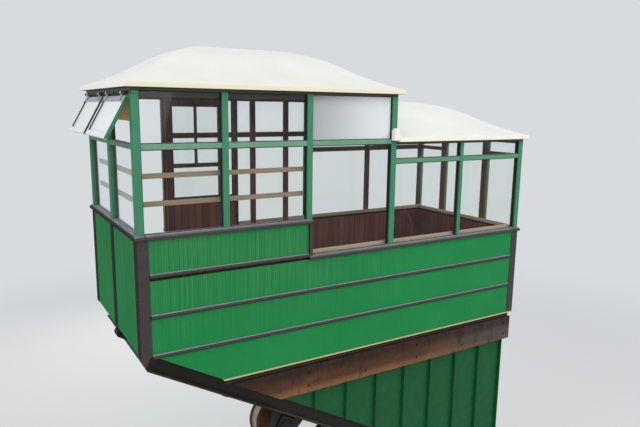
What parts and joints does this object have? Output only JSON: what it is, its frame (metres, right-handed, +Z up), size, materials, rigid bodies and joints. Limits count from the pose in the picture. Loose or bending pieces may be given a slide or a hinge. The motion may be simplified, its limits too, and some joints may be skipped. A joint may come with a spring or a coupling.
{
  "type": "funicular car",
  "caption": "Stepped glazed passenger car for a steep cliff railway, with a level cabin on a triangular water-tank underframe that runs on flanged wheels.",
  "frame": {"origin": "on the rails' running plane, on the centre line, midway between the two axles' places", "axes": "+X level towards the downhill end, +Y towards the side with the door, +Z up"},
  "size_m": [5.1343, 2.07, 5.9142],
  "materials": {
    "panel_green": "gloss paint on boards, brushed streaks",
    "frame_green": "gloss paint, lighter blue-green",
    "black_trim": "worn gloss black",
    "cream_edge": "faded cream paint",
    "clear_glass": "clear window glass",
    "sign_white": "pale board, blank",
    "roof_cream": "cream painted roof",
    "ceiling_dark": "dark boards",
    "floor_boards": "worn floor boards",
    "brown_wood": "varnished matchboard",
    "light_wood": "varnished light wood",
    "vent_wood": "orange-brown varnished boards",
    "sash_grey": "light grey paint",
    "dark_steel": "oily dark iron",
    "rusty_timber": "rust-stained beam",
    "frame_plate_green": "dark green paint",
    "tank_green": "dark green tank paint",
    "underframe_steel": "black bitumen paint with rust",
    "wheel_steel": "rusted wheels with bright treads"
  },
  "bodies": {
    "car": {"side_panels_upper": "panel_green", "side_panels_middle": "panel_green", "side_panels_lower": "panel_green", "end_panels": "panel_green", "sloping_soffit": "underframe_steel", "lower_edge_strips": "cream_edge", "corner_plates_side": "black_trim", "corner_plates_end": "black_trim", "rub_rails": "black_trim", "side_sills": "black_trim", "end_sills": "black_trim", "posts": "frame_green", "mid_rails": "frame_green", "cant_rails": "frame_green", "end_headers": "frame_green", "roof_step_board": "panel_green", "window_glass": "clear_glass", "sign_boards": "sign_white", "roof_upper": "roof_cream", "roof_lower": "roof_cream", "ceilings": "ceiling_dark", "floor_upper": "floor_boards", "floor_lower": "floor_boards", "steps": "floor_boards", "dado_linings": "brown_wood", "guard_rails": "light_wood", "sill_caps": "light_wood", "inner_posts": "brown_wood", "bench_seats": "brown_wood", "bench_frames": "brown_wood", "bench_ends": "brown_wood", "awning_rods": "dark_steel", "vent_boards": "vent_wood", "door_track": "dark_steel", "sole_beams": "rusty_timber", "floor_joists": "rusty_timber", "frame_plates": "frame_plate_green", "frame_ribs": "frame_plate_green", "water_tank": "tank_green", "girder_webs": "underframe_steel", "girder_flanges": "underframe_steel", "cross_members": "underframe_steel", "tank_bearers": "underframe_steel", "brake_shoes": "dark_steel", "rope_anchor": "dark_steel", "tank_outlet": "dark_steel", "axle_boxes": "dark_steel", "pedestals": "underframe_steel"},
    "upper_wheelset": {"upper_wheelset": "wheel_steel"},
    "lower_wheelset": {"lower_wheelset": "wheel_steel"},
    "awning_near": {"awning_near_frame": "sash_grey", "awning_near_glass": "clear_glass"},
    "awning_far": {"awning_far_frame": "sash_grey", "awning_far_glass": "clear_glass"},
    "side_door": {"door_frame": "brown_wood", "door_panel": "brown_wood", "door_glass": "clear_glass", "door_hangers": "dark_steel"}
  },
  "joints": [
    {"name": "upper_wheelset_turn", "type": "hinge", "parent": "car", "child": "upper_wheelset", "pos_m": [-1.25503, 0, 1.02813], "axis": [0, 1, 0], "continuous": true},
    {"name": "lower_wheelset_turn", "type": "hinge", "parent": "car", "child": "lower_wheelset", "pos_m": [1.52295, 0, -0.55928], "axis": [0, 1, 0], "continuous": true},
    {"name": "awning_near_hinge", "type": "hinge", "parent": "car", "child": "awning_near", "pos_m": [-2.819, 0, 4.55086], "axis": [0, 1, 0], "range_deg": [-29, 0]},
    {"name": "awning_far_hinge", "type": "hinge", "parent": "car", "child": "awning_far", "pos_m": [-2.819, 0, 4.55086], "axis": [0, 1, 0], "range_deg": [-29, 0]},
    {"name": "side_door_slide", "type": "slide", "parent": "car", "child": "side_door", "axis": [1, 0, 0], "range_m": [-0.761, 0]}
  ]
}
